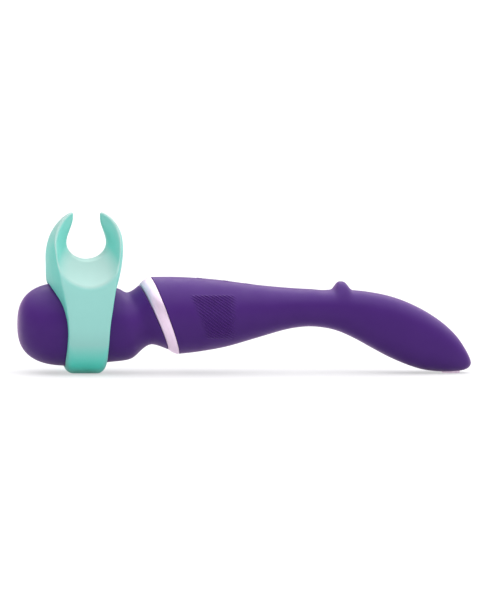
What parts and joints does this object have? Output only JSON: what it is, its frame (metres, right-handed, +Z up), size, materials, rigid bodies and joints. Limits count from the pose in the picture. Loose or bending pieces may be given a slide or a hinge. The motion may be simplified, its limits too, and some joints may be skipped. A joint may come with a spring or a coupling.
{
  "type": "handheld wand massager",
  "caption": "Cordless wand massager: rounded silicone head on a flexible neck, slanted metal trim ring, curved handle with thumb stop, and a slip-on forked silicone attachment.",
  "frame": {"origin": "middle of the object's footprint on the surface it rests on, with the attachment fitted", "axes": "+X along the wand from the head to the charging tail, +Z up, Y across; Y = 0 is the plane of symmetry"},
  "size_m": [0.3241, 0.0696, 0.1132],
  "materials": {
    "purple_silicone": "velvet matt silicone",
    "mint_silicone": "satin silicone",
    "rose_metal": "brushed pale rose",
    "white_plastic": "moulded",
    "dark_plastic": "moulded",
    "steel": "plated",
    "copper": "wound copper on a steel core",
    "gold_contact": "gold plated",
    "board_green": "solder mask",
    "cell_wrap": "shrink wrap over a metal can",
    "seal_rubber": "matt",
    "lead_red": "insulated wire",
    "clear_lens": "clear light pipe"
  },
  "bodies": {
    "handle": {"handle_cover": "purple_silicone", "handle_shell_left": "white_plastic", "handle_shell_right": "white_plastic", "trim_ring": "rose_metal", "neck_rear_collar": "white_plastic", "neck_seal": "seal_rubber", "battery_cell": "cell_wrap", "battery_tray": "dark_plastic", "main_board": "board_green", "power_switch": "dark_plastic", "up_switch": "dark_plastic", "down_switch": "dark_plastic", "indicator_lens": "clear_lens", "charge_housing": "dark_plastic", "charge_plate": "rose_metal", "charge_pin_1": "gold_contact", "charge_pin_2": "gold_contact", "charge_board": "board_green", "charge_lead": "lead_red", "shell_screw_1": "steel", "shell_screw_2": "steel", "shell_screw_3": "steel", "shell_screw_4": "steel"},
    "neck_middle": {"neck_middle_ring": "white_plastic", "neck_sleeve": "purple_silicone", "neck_spring": "steel", "motor_lead": "lead_red"},
    "head": {"head_cover": "purple_silicone", "head_shell_left": "white_plastic", "head_shell_right": "white_plastic", "neck_front_collar": "white_plastic", "motor_can": "steel", "front_bearing": "steel", "motor_end_cap": "dark_plastic", "motor_mount_front": "seal_rubber", "motor_mount_rear": "seal_rubber"},
    "rotor": {"motor_rotor": "copper", "eccentric_weight": "steel"},
    "attachment": {"fork_attachment": "mint_silicone"},
    "power_cap": {"power_button": "purple_silicone"},
    "up_cap": {"up_button": "purple_silicone"},
    "down_cap": {"down_button": "purple_silicone"}
  },
  "joints": [
    {"name": "neck_pitch", "type": "hinge", "parent": "handle", "child": "neck_middle", "pos_m": [-0.077, 0, 0.0382], "axis": [0, 1, 0], "range_deg": [-12, 12], "stiffness_Nm_per_rad": 4, "deforming": ["neck_sleeve", "neck_spring", "motor_lead"]},
    {"name": "neck_yaw", "type": "hinge", "parent": "neck_middle", "child": "head", "pos_m": [-0.077, 0, 0.0382], "axis": [0, 0, 1], "range_deg": [-12, 12], "stiffness_Nm_per_rad": 4},
    {"name": "rotor_spin", "type": "hinge", "parent": "head", "child": "rotor", "pos_m": [-0.136, 0, 0.0342], "axis": [1, 0, 0], "continuous": true},
    {"name": "attachment_slide", "type": "slide", "parent": "head", "child": "attachment", "axis": [-1, 0, 0], "range_m": [0, 0.08]},
    {"name": "power_press", "type": "slide", "parent": "handle", "child": "power_cap", "axis": [-0.1132, 0, -0.9936], "range_m": [0, 0.0006], "stiffness_N_per_m": 400},
    {"name": "up_press", "type": "slide", "parent": "handle", "child": "up_cap", "axis": [-0.1132, 0, -0.9936], "range_m": [0, 0.0006], "stiffness_N_per_m": 400},
    {"name": "down_press", "type": "slide", "parent": "handle", "child": "down_cap", "axis": [-0.1132, 0, -0.9936], "range_m": [0, 0.0006], "stiffness_N_per_m": 400}
  ]
}
